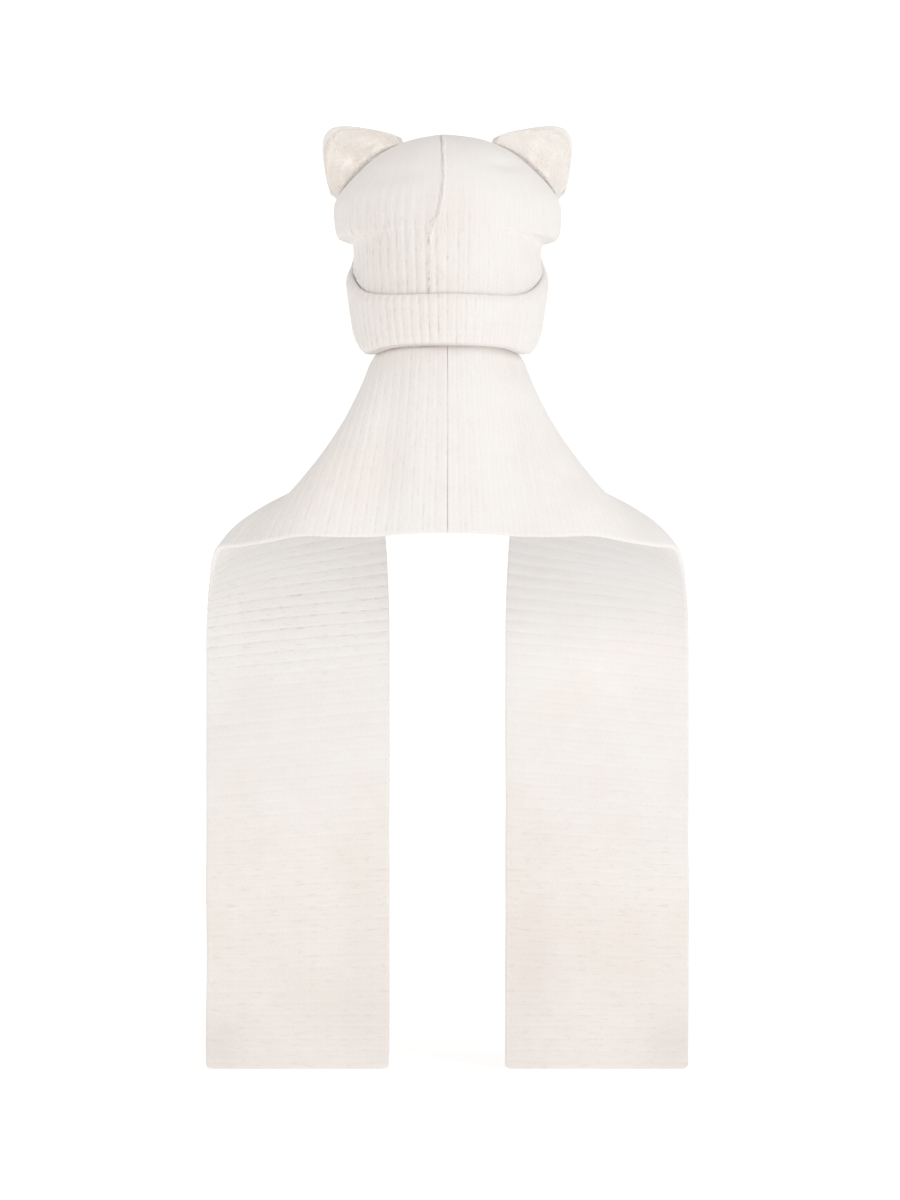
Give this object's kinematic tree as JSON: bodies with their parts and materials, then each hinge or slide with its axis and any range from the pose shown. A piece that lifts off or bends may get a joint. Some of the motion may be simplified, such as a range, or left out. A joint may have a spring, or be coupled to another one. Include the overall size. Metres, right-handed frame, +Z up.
{
  "type": "animal hood scarf",
  "caption": "Chunky rib-knit hood with a turned-up brim and padded fleece-lined animal ears, joined at the nape to a long straight knitted scarf worn over the shoulders.",
  "frame": {"origin": "top of the hollow inside the cap, where the wearer's head bears", "axes": "+Z up the wearer, +Y the way the wearer faces, +X to the wearer's right as seen from behind; the hood and the two hanging panels are all symmetric about the YZ plane but for the crown's seam"},
  "size_m": [0.45, 0.2337, 0.8656],
  "materials": {
    "knit": "soft brushed off-white rib knit",
    "fleece": "plush beige fleece"
  },
  "bodies": {
    "root": {"crown": "knit", "brim": "knit", "crown_seam": "knit", "ear_left": "knit", "ear_right": "knit", "ear_fleece_left": "fleece", "ear_fleece_right": "fleece", "scarf_left": "knit", "scarf_right": "knit"}
  },
  "joints": []
}
